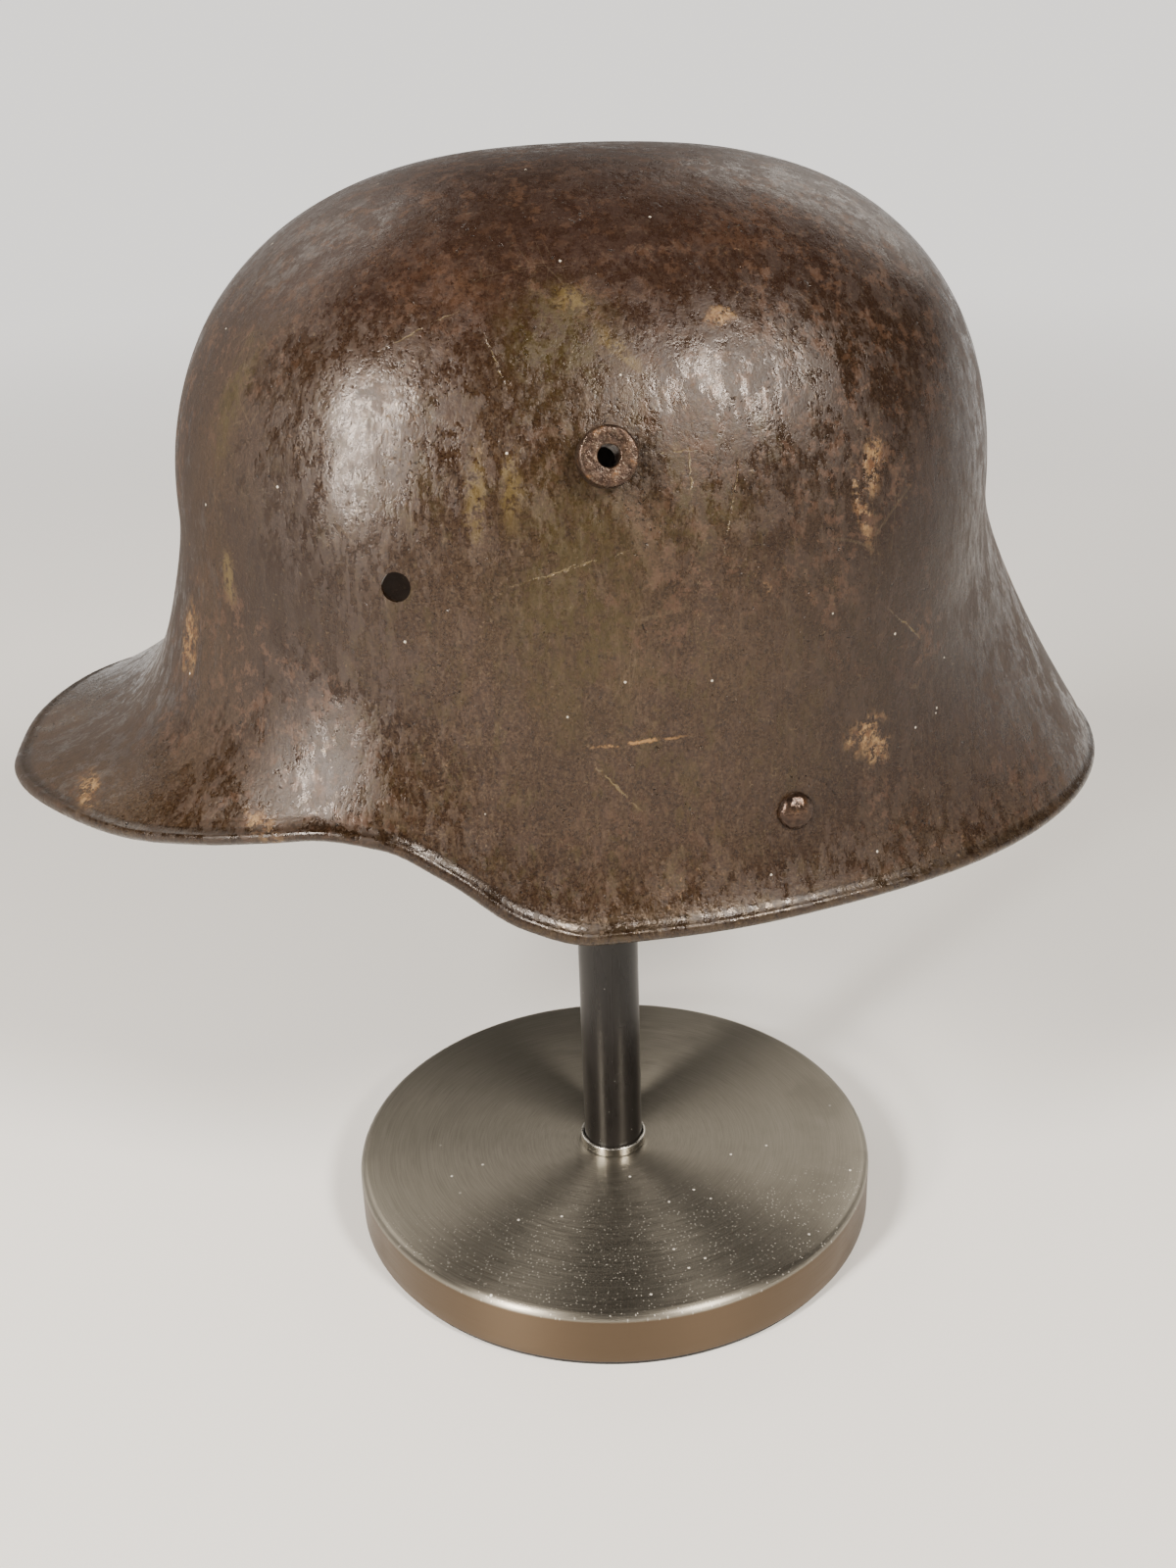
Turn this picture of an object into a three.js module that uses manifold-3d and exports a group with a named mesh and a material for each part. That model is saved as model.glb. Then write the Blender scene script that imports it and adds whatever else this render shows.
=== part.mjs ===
// A pressed steel combat helmet on a plain display stand.
// Millimetres, +Z up. The visor points along -X and the wearer's left side faces -Y.
// The origin is the middle of the stand's underside, on the axis of its post.
import * as THREE from 'three';
import { mergeVertices } from 'three/addons/utils/BufferGeometryUtils.js';
import Module from 'manifold-3d';

// Skull, measured at its widest level
const SKULL_FRONT = 105.5; // from the middle of the skull to the brow
const SKULL_BACK = 111.1; // from the middle of the skull to the nape
const SKULL_WIDTH = 191.4;
const SKULL_SQUARENESS = 2.43; // 2 is an ellipse, more is squarer
const CROWN_HEIGHT = 173.9; // top of the crown above the skirt's edge
const CROWN_BACK = 5.2; // the crown's top lies this far behind the middle of the skull
const CROWN_FULLNESS_FRONT = 2.53; // 2 is an ellipse in side view, more is fuller
const CROWN_FULLNESS_BACK = 2.86;
const CROWN_FLATNESS = 2.2;

// Level at which the skull ends and the flare begins, above the skirt's edge
const BROW_HEIGHT = 89.2;
const EAR_HEIGHT = 67.6;
const NAPE_HEIGHT = 91.7;

// Flare from the skull out to the edge
const VISOR_REACH = 54.1;
const SKIRT_REACH = 10.3;
const NECK_REACH = 44.1;
const EDGE_SQUARENESS = 2.07;
const VISOR_LIFT = 22; // the visor's edge above the skirt's edge
const VISOR_CURVE = 9.1; // how late the visor turns outward
const VISOR_SWEEP = 0.39; // share of the visor's reach that starts at the brow already
const SWEEP_CURVE = 1.5;
const SKIRT_CURVE = 4.4;
const FLANK_EASE = 4; // the flare turns out this much earlier between visor and ear
const NECK_CURVE = 1.3;

// Sheet and rolled edge
const SHEET = 1.2;
const BEAD_RADIUS = 2.1;
const BEAD_PROUD = 0.45; // the bead stands out this far from the outer face

// Fittings: turn is measured from the visor's middle round to the side
const LUG_TURN = 88.5;
const LUG_HEIGHT = 114.2;
const LUG_DIAMETER = 13.8;
const LUG_LENGTH = 6.5;
const LUG_CHAMFER = 0.9;
const LUG_BORE = 5.1;
const LUG_SHANK_DIAMETER = 8.4;
const LUG_END_DIAMETER = 10.4;
const LUG_END_THICKNESS = 1.2;
const PIN_HOLE_DIAMETER = 6.9;
const PIN_SIDE_TURN = 64.2;
const PIN_SIDE_HEIGHT = 87.5;
const PIN_BACK_HEIGHT = 100;
const RIVET_TURN = 106;
const RIVET_HEIGHT = 25.1;
const RIVET_HEAD_DIAMETER = 9.4;
const RIVET_HEAD_HEIGHT = 2.6;
const RIVET_SHANK_DIAMETER = 4;
const RIVET_END_DIAMETER = 7.6;
const RIVET_END_THICKNESS = 1.1;

// Stand
const BASE_DIAMETER = 169;
const DISC_THICKNESS = 17.4;
const DISC_EDGE_RADIUS = 3.5;
const PAD_THICKNESS = 2;
const PAD_INSET = 1.5;
const POST_DIAMETER = 19;
const POST_WALL = 1.5;
const POST_HEIGHT = 295.3; // above the disc
const POST_SOCKET = 8; // depth of the post's seat in the disc
const COLLAR_HEIGHT = 3;
const COLLAR_WALL = 1;
const REST_DIAMETER = 60;
const REST_THICKNESS = 14;
const REST_CROWN_RADIUS = 90;
const REST_SPIGOT = 16;
const HELMET_FORWARD = 7.1; // the middle of the skull lies this far in front of the post

// Clearances
const SEAT_GAP = 0.3;
const INNER_SEAT_GAP = 0.6; // under the flat inner ends, where the shell curves towards them

// Fineness of the faceted surfaces
const COLUMNS = 72;
const SKULL_RINGS = 11;
const FLARE_RINGS = 8;
const BEAD_FACETS = 7;
const FITTING_FACETS = 20;
const POST_FACETS = 32;
const DISC_FACETS = 64;

// Height of the edge round the helmet: turn from the visor's middle, lift as a share of VISOR_LIFT
const EDGE_ROWS = [
  { turn: 0, lift: 0.99 },
  { turn: 12, lift: 1.09 },
  { turn: 25, lift: 1.14 },
  { turn: 38, lift: 1.1 },
  { turn: 48, lift: 1.17 },
  { turn: 56, lift: 1.28 },
  { turn: 62, lift: 1.36 },
  { turn: 68, lift: 1.26 },
  { turn: 74, lift: 0.84 },
  { turn: 80, lift: 0.26 },
  { turn: 86, lift: 0 },
  { turn: 95, lift: 0 },
  { turn: 110, lift: 0.05 },
  { turn: 130, lift: 0.08 },
  { turn: 155, lift: 0.15 },
  { turn: 180, lift: 0.26 },
];

const degrees = THREE.MathUtils.degToRad;
const power = (value, exponent) => Math.sign(value) * Math.abs(value) ** exponent;
const wasm = await Module();
wasm.setup();

// Smooth curve through the rows that never swings past them
function edgeLift(turn) {
  const wrapped = THREE.MathUtils.euclideanModulo(THREE.MathUtils.radToDeg(turn), 360);
  const place = Math.min(wrapped, 360 - wrapped);
  const last = EDGE_ROWS.length - 1;
  let index = 0;
  while (index < last - 1 && place > EDGE_ROWS[index + 1].turn) {
    index += 1;
  }
  const width = (i) => EDGE_ROWS[i + 1].turn - EDGE_ROWS[i].turn;
  const slope = (i) => (EDGE_ROWS[i + 1].lift - EDGE_ROWS[i].lift) / width(i);
  const tangent = (i) => {
    if (i === 0 || i === last || slope(i - 1) * slope(i) <= 0) {
      return 0;
    }
    return (2 * slope(i - 1) * slope(i)) / (slope(i - 1) + slope(i));
  };
  const t = (place - EDGE_ROWS[index].turn) / width(index);
  const start = (1 + 2 * t) * (1 - t) ** 2 * EDGE_ROWS[index].lift;
  const end = t * t * (3 - 2 * t) * EDGE_ROWS[index + 1].lift;
  const startPull = t * (1 - t) ** 2 * width(index) * tangent(index);
  const endPull = t * t * (t - 1) * width(index) * tangent(index + 1);
  return VISOR_LIFT * (start + end + startPull + endPull);
}

function oval(turn, front, back, halfWidth, squareness) {
  const along = power(Math.cos(turn), 2 / squareness);
  const across = power(Math.sin(turn), 2 / squareness);
  return new THREE.Vector3(-(along > 0 ? front : back) * along, -halfWidth * across, 0);
}

function frontSideBack(turn, front, side, back) {
  const end = Math.cos(turn) > 0 ? front : back;
  return THREE.MathUtils.lerp(end, side, Math.sin(turn) ** 2);
}

// Outer face of the helmet about the middle of its skull, with the skirt's edge at height 0.
// Down is 0 at the crown, 1 where the flare begins and 2 at the edge.
function facePoint(turn, down) {
  const waist = oval(turn, SKULL_FRONT, SKULL_BACK, SKULL_WIDTH / 2, SKULL_SQUARENESS);
  waist.z = frontSideBack(turn, BROW_HEIGHT, EAR_HEIGHT, NAPE_HEIGHT);
  const frontShare = 0.5 + 0.5 * Math.cos(turn);
  if (down <= 1) {
    const fullness = THREE.MathUtils.lerp(CROWN_FULLNESS_BACK, CROWN_FULLNESS_FRONT, frontShare);
    const spread = Math.sin((down * Math.PI) / 2) ** (2 / fullness);
    const rise = Math.max(0, Math.cos((down * Math.PI) / 2)) ** (2 / CROWN_FLATNESS);
    const crown = new THREE.Vector3(CROWN_BACK, 0, 0);
    const point = crown.lerp(waist, spread);
    point.z = waist.z + (CROWN_HEIGHT - waist.z) * rise;
    return point;
  }
  const edge = oval(
    turn,
    SKULL_FRONT + VISOR_REACH,
    SKULL_BACK + NECK_REACH,
    SKULL_WIDTH / 2 + SKIRT_REACH,
    EDGE_SQUARENESS,
  );
  edge.z = edgeLift(turn);
  const fall = down - 1;
  const sweep = VISOR_SWEEP * Math.max(0, Math.cos(turn));
  const ease = Math.cos(turn) > 0 ? FLANK_EASE * Math.sin(2 * turn) ** 2 : 0;
  const late = fall ** (frontSideBack(turn, VISOR_CURVE, SKIRT_CURVE, NECK_CURVE) - ease);
  const reach = (1 - sweep) * late + sweep * fall ** SWEEP_CURVE;
  const point = waist.clone().lerp(edge, reach);
  point.z = THREE.MathUtils.lerp(waist.z, edge.z, fall);
  return point;
}

// Directions on the face: down the face, round it, and out of it
function faceFrame(turn, down) {
  const step = 0.004;
  const low = Math.min(2, down + step);
  const high = down > 1 ? Math.max(1.001, down - step) : Math.max(0.01, down - step);
  const downward = facePoint(turn, low).sub(facePoint(turn, high));
  const slope = downward.length() / (low - high);
  downward.normalize();
  const around = facePoint(turn + step, down).sub(facePoint(turn - step, down)).normalize();
  const outward = downward.clone().cross(around).normalize();
  return { downward, outward, slope };
}

// Point on the face at one turn and height
function faceAt(turnDegrees, height) {
  const turn = degrees(turnDegrees);
  let above = 0;
  let below = 2;
  for (let i = 0; i < 40; i += 1) {
    const middle = (above + below) / 2;
    if (facePoint(turn, middle).z > height) {
      above = middle;
    } else {
      below = middle;
    }
  }
  return { point: facePoint(turn, above), outward: faceFrame(turn, above).outward };
}

// Rows of closed rings become one closed body, with a point at each end
function bodyFromRings(first, rings, last) {
  const columns = rings[0].length;
  const points = [first, ...rings.flat(), last];
  const positions = points.flatMap((point) => [point.x, point.y, point.z]);
  const at = (ring, column) => 1 + ring * columns + (column % columns);
  const faces = [];
  for (let column = 0; column < columns; column += 1) {
    faces.push(0, at(0, column), at(0, column + 1));
    for (let ring = 0; ring < rings.length - 1; ring += 1) {
      faces.push(at(ring, column), at(ring + 1, column), at(ring + 1, column + 1));
      faces.push(at(ring, column), at(ring + 1, column + 1), at(ring, column + 1));
    }
    faces.push(at(rings.length - 1, column), points.length - 1, at(rings.length - 1, column + 1));
  }
  const geometry = new THREE.BufferGeometry();
  geometry.setAttribute('position', new THREE.Float32BufferAttribute(positions, 3));
  geometry.setIndex(faces);
  return geometry;
}

function toSolid(geometry) {
  const bare = geometry.clone();
  bare.deleteAttribute('normal');
  bare.deleteAttribute('uv');
  const merged = mergeVertices(bare, 1e-4);
  const vertProperties = new Float32Array(merged.attributes.position.array);
  const triVerts = new Uint32Array(merged.index.array);
  return new wasm.Manifold(new wasm.Mesh({ numProp: 3, vertProperties, triVerts }));
}

function toGeometry(solid) {
  const mesh = solid.getMesh();
  const geometry = new THREE.BufferGeometry();
  geometry.setAttribute('position', new THREE.BufferAttribute(mesh.vertProperties, 3));
  geometry.setIndex(new THREE.BufferAttribute(mesh.triVerts, 1));
  return geometry;
}

// Turned body whose profile runs [radius, height]
function turned(profile, facets) {
  const points = profile.map(([radius, height]) => new THREE.Vector2(radius, height));
  const geometry = new THREE.LatheGeometry(points, facets);
  return geometry.rotateX(Math.PI / 2);
}

// Sets a body that was made along +Z on the helmet's face, pointing out of it
function standOn(geometry, { point, outward }) {
  const turn = new THREE.Quaternion().setFromUnitVectors(new THREE.Vector3(0, 0, 1), outward);
  return geometry.applyQuaternion(turn).translate(point.x, point.y, point.z);
}

// Rolled edge: a round bead that starts on the outer face and ends on the inner one
function beadPoints(turn) {
  const tip = facePoint(turn, 2);
  const { downward, outward } = faceFrame(turn, 2);
  const middle = tip.clone().addScaledVector(downward, -BEAD_RADIUS);
  middle.addScaledVector(outward, BEAD_PROUD - BEAD_RADIUS);
  const startAngle = Math.PI - Math.asin((BEAD_RADIUS - BEAD_PROUD) / BEAD_RADIUS);
  const endAngle = -Math.PI - Math.asin((BEAD_RADIUS - BEAD_PROUD - SHEET) / BEAD_RADIUS);
  const points = [];
  for (let i = 0; i <= BEAD_FACETS; i += 1) {
    const angle = THREE.MathUtils.lerp(startAngle, endAngle, i / BEAD_FACETS);
    const point = middle.clone().addScaledVector(downward, BEAD_RADIUS * Math.cos(angle));
    points.push(point.addScaledVector(outward, BEAD_RADIUS * Math.sin(angle)));
  }
  return points;
}

// One column of the shell's section: outer face, bead, inner face
function shellColumn(turn) {
  const beadZone = 2 * BEAD_RADIUS + SHEET;
  const flareEnd = 1 - beadZone / faceFrame(turn, 2).slope;
  const downs = [];
  for (let i = 1; i <= SKULL_RINGS; i += 1) {
    downs.push(i / SKULL_RINGS);
  }
  for (let i = 1; i <= FLARE_RINGS; i += 1) {
    downs.push(1 + flareEnd * (1 - (1 - i / FLARE_RINGS) ** 1.5));
  }
  const outer = downs.map((down) => facePoint(turn, down));
  const inner = downs.map((down) => facePoint(turn, down).addScaledVector(faceFrame(turn, down).outward, -SHEET));
  return [...outer, ...beadPoints(turn), ...inner.reverse()];
}

function holeThrough(seat, diameter) {
  const length = 12 * SHEET;
  const cylinder = new THREE.CylinderGeometry(diameter / 2, diameter / 2, length, FITTING_FACETS);
  return toSolid(standOn(cylinder.rotateX(Math.PI / 2), seat));
}

const mirrored = ({ point, outward }) => ({
  point: new THREE.Vector3(point.x, -point.y, point.z),
  outward: new THREE.Vector3(outward.x, -outward.y, outward.z),
});

const lugSeats = { left: faceAt(LUG_TURN, LUG_HEIGHT) };
lugSeats.right = mirrored(lugSeats.left);
const rivetSeats = { left: faceAt(RIVET_TURN, RIVET_HEIGHT) };
rivetSeats.right = mirrored(rivetSeats.left);
const pinSeatLeft = faceAt(PIN_SIDE_TURN, PIN_SIDE_HEIGHT);
const pinSeats = [pinSeatLeft, mirrored(pinSeatLeft), faceAt(180, PIN_BACK_HEIGHT)];

function shell() {
  const columns = [];
  for (let i = 0; i < COLUMNS; i += 1) {
    columns.push(shellColumn((i / COLUMNS) * 2 * Math.PI));
  }
  const rings = columns[0].map((_, ring) => columns.map((column) => column[ring]));
  const crown = new THREE.Vector3(CROWN_BACK, 0, CROWN_HEIGHT);
  const innerCrown = new THREE.Vector3(CROWN_BACK, 0, CROWN_HEIGHT - SHEET);
  let solid = toSolid(bodyFromRings(crown, rings, innerCrown));
  for (const side of ['left', 'right']) {
    solid = solid.subtract(holeThrough(lugSeats[side], LUG_SHANK_DIAMETER + 2 * SEAT_GAP));
    solid = solid.subtract(holeThrough(rivetSeats[side], RIVET_SHANK_DIAMETER + 2 * SEAT_GAP));
  }
  for (const seat of pinSeats) {
    solid = solid.subtract(holeThrough(seat, PIN_HOLE_DIAMETER));
  }
  return toGeometry(solid);
}

// Hollow lug: its head stands on the face and its shank is spread behind the sheet
function ventLug(seat) {
  const bore = LUG_BORE / 2;
  const head = LUG_DIAMETER / 2;
  const shank = LUG_SHANK_DIAMETER / 2;
  const behind = -SHEET - INNER_SEAT_GAP;
  const profile = [
    [bore, behind - LUG_END_THICKNESS],
    [LUG_END_DIAMETER / 2, behind - LUG_END_THICKNESS],
    [LUG_END_DIAMETER / 2, behind],
    [shank, behind],
    [shank, SEAT_GAP],
    [head, SEAT_GAP],
    [head, LUG_LENGTH - LUG_CHAMFER],
    [head - LUG_CHAMFER, LUG_LENGTH],
    [bore + LUG_CHAMFER / 3, LUG_LENGTH],
    [bore, LUG_LENGTH - LUG_CHAMFER / 3],
    [bore, behind - LUG_END_THICKNESS],
  ];
  return standOn(turned(profile, FITTING_FACETS), seat);
}

// Solid rivet with a domed head outside and a plain upset end inside
function chinstrapRivet(seat) {
  const head = RIVET_HEAD_DIAMETER / 2;
  const shank = RIVET_SHANK_DIAMETER / 2;
  const behind = -SHEET - INNER_SEAT_GAP;
  const profile = [
    [0, behind - RIVET_END_THICKNESS],
    [RIVET_END_DIAMETER / 2, behind - RIVET_END_THICKNESS],
    [RIVET_END_DIAMETER / 2, behind],
    [shank, behind],
    [shank, SEAT_GAP],
    [head, SEAT_GAP],
  ];
  const domeRings = 4;
  for (let i = 1; i < domeRings; i += 1) {
    const angle = ((i / domeRings) * Math.PI) / 2;
    profile.push([head * Math.cos(angle), SEAT_GAP + RIVET_HEAD_HEIGHT * Math.sin(angle)]);
  }
  profile.push([0, SEAT_GAP + RIVET_HEAD_HEIGHT]);
  return standOn(turned(profile, FITTING_FACETS), seat);
}

// Heights of the stand's pieces above the floor
const discBottom = PAD_THICKNESS + SEAT_GAP;
const discTop = discBottom + DISC_THICKNESS;
const postBottom = discTop - POST_SOCKET + SEAT_GAP;
const postTop = discTop + POST_HEIGHT;
const restBottom = postTop + SEAT_GAP;
const restTop = restBottom + REST_THICKNESS;
const skirtEdge = restTop + SEAT_GAP + SHEET - CROWN_HEIGHT;

function basePad() {
  const radius = BASE_DIAMETER / 2 - PAD_INSET;
  const profile = [[0, 0], [radius, 0], [radius, PAD_THICKNESS], [0, PAD_THICKNESS]];
  return turned(profile, DISC_FACETS);
}

function baseDisc() {
  const radius = BASE_DIAMETER / 2;
  const socket = POST_DIAMETER / 2 + SEAT_GAP;
  const profile = [[0, discBottom], [radius - 0.5, discBottom], [radius, discBottom + 0.5]];
  const edgeFacets = 4;
  for (let i = 0; i <= edgeFacets; i += 1) {
    const angle = ((i / edgeFacets) * Math.PI) / 2;
    const inward = DISC_EDGE_RADIUS * (1 - Math.cos(angle));
    const drop = DISC_EDGE_RADIUS * (1 - Math.sin(angle));
    profile.push([radius - inward, discTop - drop]);
  }
  profile.push([socket, discTop], [socket, discTop - POST_SOCKET], [0, discTop - POST_SOCKET]);
  return turned(profile, DISC_FACETS);
}

// Tube or ring as a closed profile round its bore
function ring(inner, outer, bottom, top, facets) {
  const profile = [[inner, bottom], [outer, bottom], [outer, top], [inner, top], [inner, bottom]];
  return turned(profile, facets);
}

function post() {
  const radius = POST_DIAMETER / 2;
  return ring(radius - POST_WALL, radius, postBottom, postTop, POST_FACETS);
}

function postCollar() {
  const inner = POST_DIAMETER / 2 + SEAT_GAP;
  const outer = inner + COLLAR_WALL;
  return ring(inner, outer, discTop + SEAT_GAP, discTop + SEAT_GAP + COLLAR_HEIGHT, POST_FACETS);
}

// Hidden cap: a spigot in the post and a shallow dome under the crown
function crownRest() {
  const spigot = POST_DIAMETER / 2 - POST_WALL - SEAT_GAP;
  const radius = REST_DIAMETER / 2;
  const profile = [
    [0, postTop - REST_SPIGOT],
    [spigot, postTop - REST_SPIGOT],
    [spigot, restBottom],
    [radius, restBottom],
  ];
  const domeRings = 5;
  for (let i = domeRings; i >= 0; i -= 1) {
    const out = (radius * i) / domeRings;
    const drop = REST_CROWN_RADIUS - Math.sqrt(REST_CROWN_RADIUS ** 2 - out ** 2);
    profile.push([out, restTop - drop]);
  }
  return turned(profile, POST_FACETS);
}

const patinatedSteel = { color: 0x4b4038, roughness: 0.5, metalness: 0.75 };
const darkSteel = { color: 0x3d352f, roughness: 0.45, metalness: 0.8 };
const brushedSteel = { color: 0xb4b0aa, roughness: 0.35, metalness: 1 };
const brightSteel = { color: 0xd8d6d2, roughness: 0.15, metalness: 1 };
const blackMetal = { color: 0x1c1b1b, roughness: 0.25, metalness: 0.8 };
const blackRubber = { color: 0x161616, roughness: 0.85, metalness: 0 };
const plainGrey = { color: 0x77767a, roughness: 0.6, metalness: 0 };

function piece(name, geometry, finish) {
  const mesh = new THREE.Mesh(geometry, new THREE.MeshStandardMaterial(finish));
  mesh.name = name;
  return mesh;
}

const helmet = new THREE.Group();
helmet.position.set(-HELMET_FORWARD, 0, skirtEdge);
helmet.add(piece('shell', shell(), patinatedSteel));
for (const side of ['left', 'right']) {
  helmet.add(piece(`vent_lug_${side}`, ventLug(lugSeats[side]), darkSteel));
  helmet.add(piece(`chinstrap_rivet_${side}`, chinstrapRivet(rivetSeats[side]), darkSteel));
}

const stand = new THREE.Group();
stand.add(piece('base_pad', basePad(), blackRubber));
stand.add(piece('base_disc', baseDisc(), brushedSteel));
stand.add(piece('post_collar', postCollar(), brightSteel));
stand.add(piece('post', post(), blackMetal));
stand.add(piece('crown_rest', crownRest(), plainGrey));

const group = new THREE.Group();
group.add(helmet, stand);

export default group;
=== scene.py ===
"""Looks of a steel combat helmet on a display stand: fine shell, turned fittings, satin stand and worn steel.

Metres, +Z up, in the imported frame. The visor points along -X and the wearer's left side faces -Y.
"""
import math

import bpy
import numpy as np
from mathutils import Matrix, Vector, noise


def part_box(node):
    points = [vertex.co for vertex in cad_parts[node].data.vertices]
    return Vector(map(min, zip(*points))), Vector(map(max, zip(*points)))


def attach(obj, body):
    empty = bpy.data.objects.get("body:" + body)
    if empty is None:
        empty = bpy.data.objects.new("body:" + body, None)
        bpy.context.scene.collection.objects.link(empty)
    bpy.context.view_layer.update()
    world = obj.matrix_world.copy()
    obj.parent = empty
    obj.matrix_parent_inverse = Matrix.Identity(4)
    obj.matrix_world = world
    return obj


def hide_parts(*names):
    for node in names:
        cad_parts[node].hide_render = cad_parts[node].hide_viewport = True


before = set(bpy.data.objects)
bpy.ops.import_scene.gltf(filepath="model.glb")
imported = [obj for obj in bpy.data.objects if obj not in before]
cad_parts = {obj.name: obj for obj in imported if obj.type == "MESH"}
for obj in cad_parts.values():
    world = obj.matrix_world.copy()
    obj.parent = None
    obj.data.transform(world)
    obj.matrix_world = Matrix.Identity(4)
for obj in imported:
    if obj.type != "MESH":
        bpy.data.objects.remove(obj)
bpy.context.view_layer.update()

MM = 0.001
FINE = 1.0
SHELL_COLUMNS = int(384 * FINE)
SKULL_ROWS = int(96 * FINE)
FLARE_ROWS = int(84 * FINE)
ROWS_TO_EDGE = 1.35
BEAD_STEPS = 16
INNER_EVERY = 3
EVEN_ROWS = 8

# Skull, measured at its widest level
SKULL_FRONT = 105.5
SKULL_BACK = 111.1
SKULL_WIDTH = 191.4
SKULL_SQUARENESS = 2.43
CROWN_HEIGHT = 173.9
CROWN_BACK = 5.2
CROWN_FULLNESS_FRONT = 2.53
CROWN_FULLNESS_BACK = 2.86
CROWN_FLATNESS = 2.2

# Level where the flare begins, and the flare out to the edge
BROW_HEIGHT = 89.2
EAR_HEIGHT = 67.6
NAPE_HEIGHT = 91.7
VISOR_REACH = 54.1
SKIRT_REACH = 10.3
NECK_REACH = 44.1
EDGE_SQUARENESS = 2.07
VISOR_LIFT = 22
VISOR_CURVE = 9.1
VISOR_SWEEP = 0.39
SWEEP_CURVE = 1.5
SKIRT_CURVE = 4.4
FLANK_EASE = 4
NECK_CURVE = 1.3

# Sheet, rolled edge and the sheet's unevenness
SHEET = 1.2
BEAD_RADIUS = 2.1
BEAD_PROUD = 0.45
UNEVENNESS = 0.35

# Fittings
LUG_TURN = 88.5
LUG_HEIGHT = 114.2
LUG_RADIUS = 6.9
LUG_LENGTH = 6.5
LUG_BORE = 2.55
LUG_SHANK = 4.2
LUG_END = 5.2
LUG_END_THICKNESS = 1.2
PIN_HOLE_RADIUS = 3.45
PIN_SIDE_TURN = 64.2
PIN_SIDE_HEIGHT = 87.5
PIN_BACK_HEIGHT = 100
RIVET_TURN = 106
RIVET_HEIGHT = 25.1
RIVET_HEAD = 4.7
RIVET_RISE = 2.6
RIVET_SHANK = 2
RIVET_END = 3.8
RIVET_END_THICKNESS = 1.1
SEAT_GAP = 0.3
INNER_SEAT_GAP = 0.6

# Stand
DISC_EDGE = 2.6
DISC_FOOT = 0.6
PAD_EDGE = 0.5
COLLAR_EDGE = 0.45
TUBE_EDGE = 0.4
REST_EDGE = 1.0
REST_RIM = 0.8
SPIGOT_EDGE = 0.6
POST_WALL = 1.5
REST_CROWN_RADIUS = 90

# Height of the edge round the helmet: turn from the visor's middle, lift as a share of VISOR_LIFT
EDGE_ROWS = [
    {"turn": 0, "lift": 0.99},
    {"turn": 12, "lift": 1.09},
    {"turn": 25, "lift": 1.14},
    {"turn": 38, "lift": 1.1},
    {"turn": 48, "lift": 1.17},
    {"turn": 56, "lift": 1.28},
    {"turn": 62, "lift": 1.36},
    {"turn": 68, "lift": 1.26},
    {"turn": 74, "lift": 0.84},
    {"turn": 80, "lift": 0.26},
    {"turn": 86, "lift": 0},
    {"turn": 95, "lift": 0},
    {"turn": 110, "lift": 0.05},
    {"turn": 130, "lift": 0.08},
    {"turn": 155, "lift": 0.15},
    {"turn": 180, "lift": 0.26},
]

# Where finishes begin and are full: below the crown, above the skirt's roll, to each side of the paint's
# middle, and in front of the stand's axis
STAIN_FOOT = 62
STAIN_TOP = 12
RIM_BAND = 4.5
RIM_BAND_FULL = 1
PAINT_FORWARD = 14
PAINT_REACH = 85
PAINT_FULL = 20
DUST_START = 16
DUST_FULL = 50
LINT_FADE = 20

# Camera: photograph's viewpoint about the stand, and its lens
VIEW_TURN = 9.07
VIEW_DISTANCE = 448.3
VIEW_HEIGHT = 356.0
VIEW_PITCH = 24.63
VIEW_YAW = -0.59
VIEW_ROLL = 1.91
FOCAL_PIXELS = 1664
PHOTO_PIXELS = 1600
SENSOR = 36

# Room, and softboxes in metres: azimuth 0 is in front of the wearer's left side, + toward the back
ROOM_COLOUR = (1.0, 0.965, 0.92)
ROOM_LIGHT = 1.45
FLOOR_RADIUS = 30.0
FLOOR_CORNERS = 64
LIGHT_COLOUR = (1.0, 0.93, 0.84)
LIGHT_TARGET_BELOW_CROWN = 80
SOFTBOXES = [
    {"name": "softbox_left", "azimuth": -52, "elevation": 31,
     "distance": 1.7, "width": 0.29, "height": 0.44, "watts": 44},
    {"name": "softbox_left_low", "azimuth": -50, "elevation": 13.5,
     "distance": 1.7, "width": 0.22, "height": 0.24, "watts": 24},
    {"name": "softbox_right", "azimuth": 29, "elevation": 35,
     "distance": 1.7, "width": 0.32, "height": 0.38, "watts": 43},
    {"name": "softbox_back_left", "azimuth": -144, "elevation": 36,
     "distance": 2.0, "width": 1.5, "height": 1.1, "watts": 12},
    {"name": "softbox_back_right", "azimuth": 138, "elevation": 32,
     "distance": 2.0, "width": 1.5, "height": 1.2, "watts": 10.5},
]


# Helmet form
def lerp(a, b, t):
    return a + (b - a) * t


def power(value, exponent):
    return np.sign(value) * np.abs(value) ** exponent


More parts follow.
